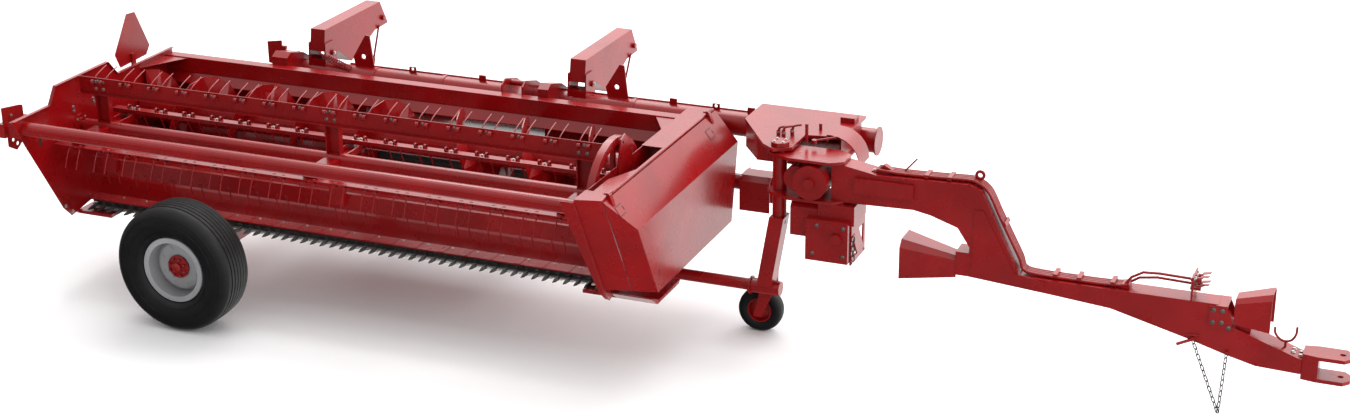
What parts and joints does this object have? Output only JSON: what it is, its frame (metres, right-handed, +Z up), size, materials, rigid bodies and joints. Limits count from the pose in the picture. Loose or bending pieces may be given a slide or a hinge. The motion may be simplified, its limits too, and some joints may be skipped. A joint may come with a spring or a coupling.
{
  "type": "mower conditioner",
  "caption": "Pull-type mower conditioner with a sickle cutter bar, tined reel, auger and rolls, on transport wheels with a swinging gooseneck tongue.",
  "frame": {"origin": "on the ground, in the middle of the machine's outline", "axes": "+X is the way it is towed in transport, towards the hitch; -Y is where the cutter bar looks; +Z is up"},
  "size_m": [8.96, 3.01, 1.75],
  "materials": {
    "red_paint": "gloss, weathered",
    "dark_steel": "dull",
    "silver_paint": "satin",
    "tyre_rubber": "matte",
    "roll_rubber": "matte"
  },
  "bodies": {
    "frame": {"arm_stand_left": "red_paint", "arm_stand_right": "red_paint", "axle_upright": "red_paint", "conditioner_housing": "red_paint", "cutter_bar": "dark_steel", "drive_shield": "red_paint", "floor_pan": "red_paint", "header_bracket_left": "red_paint", "header_bracket_middle": "red_paint", "header_bracket_right": "red_paint", "header_left_panel": "red_paint", "header_right_panel": "red_paint", "lift_arm_left": "red_paint", "lift_arm_right": "red_paint", "light_bracket": "red_paint", "link_bracket": "red_paint", "link_tube": "red_paint", "main_tube": "red_paint", "pivot_frame": "red_paint", "pivot_post": "red_paint", "push_bar": "red_paint", "rear_beam": "red_paint", "rear_sign": "red_paint", "rear_wall_left": "red_paint", "rear_wall_right": "red_paint", "skid_shoe_left": "dark_steel", "skid_shoe_right": "dark_steel", "transport_axle": "red_paint", "wheel_stand": "red_paint"},
    "auger": {"auger": "red_paint"},
    "tongue": {"driveline_hood_rear": "red_paint", "hitch_clevis": "red_paint", "lower_gearbox": "red_paint", "pivot_gearbox": "red_paint", "tongue_beam": "red_paint"},
    "front_wheel": {"front_rim": "silver_paint", "front_tyre": "tyre_rubber"},
    "rear_wheel": {"rear_rim": "silver_paint", "rear_tyre": "tyre_rubber"},
    "reel": {"reel_bat_back": "red_paint", "reel_bat_bottom": "red_paint", "reel_bat_front": "red_paint", "reel_bat_top": "red_paint", "reel_spiders": "red_paint"},
    "roll_lower": {"roll_lower": "roll_rubber"},
    "roll_upper": {"roll_upper": "roll_rubber"},
    "shield_cover": {"shield_cover": "red_paint"},
    "small_wheel": {"small_wheel": "tyre_rubber"}
  },
  "joints": [
    {"name": "reel_spin", "type": "hinge", "parent": "frame", "child": "reel", "pos_m": [-1.82, -0.785, 1.13], "axis": [1, 0, 0], "continuous": true},
    {"name": "auger_spin", "type": "hinge", "parent": "frame", "child": "auger", "pos_m": [-1.82, -0.035, 1.04], "axis": [1, 0, 0], "continuous": true},
    {"name": "lower_roll_spin", "type": "hinge", "parent": "frame", "child": "roll_lower", "pos_m": [-1.82, 0.515, 0.66], "axis": [1, 0, 0], "continuous": true},
    {"name": "upper_roll_spin", "type": "hinge", "parent": "frame", "child": "roll_upper", "pos_m": [-1.82, 0.515, 0.851], "axis": [1, 0, 0], "continuous": true},
    {"name": "front_wheel_spin", "type": "hinge", "parent": "frame", "child": "front_wheel", "pos_m": [-3.05, -1.345, 0.446], "axis": [0, 1, 0], "continuous": true},
    {"name": "rear_wheel_spin", "type": "hinge", "parent": "frame", "child": "rear_wheel", "pos_m": [-3.05, 1.085, 0.446], "axis": [0, 1, 0], "continuous": true},
    {"name": "small_wheel_spin", "type": "hinge", "parent": "frame", "child": "small_wheel", "pos_m": [0.64, -0.005, 0.155], "axis": [0, 1, 0], "continuous": true},
    {"name": "tongue_swing", "type": "hinge", "parent": "frame", "child": "tongue", "pos_m": [0.815, -0.155, 1.085], "axis": [0, 0, 1], "range_deg": [-95, 0]},
    {"name": "shield_cover_hinge", "type": "hinge", "parent": "frame", "child": "shield_cover", "pos_m": [0.1363, -0.605, 1.3966], "axis": [0, -1, 0], "range_deg": [0, 22]}
  ],
  "couplings": [
    {"joint": "upper_roll_spin", "follows": "lower_roll_spin", "ratio": -1}
  ]
}
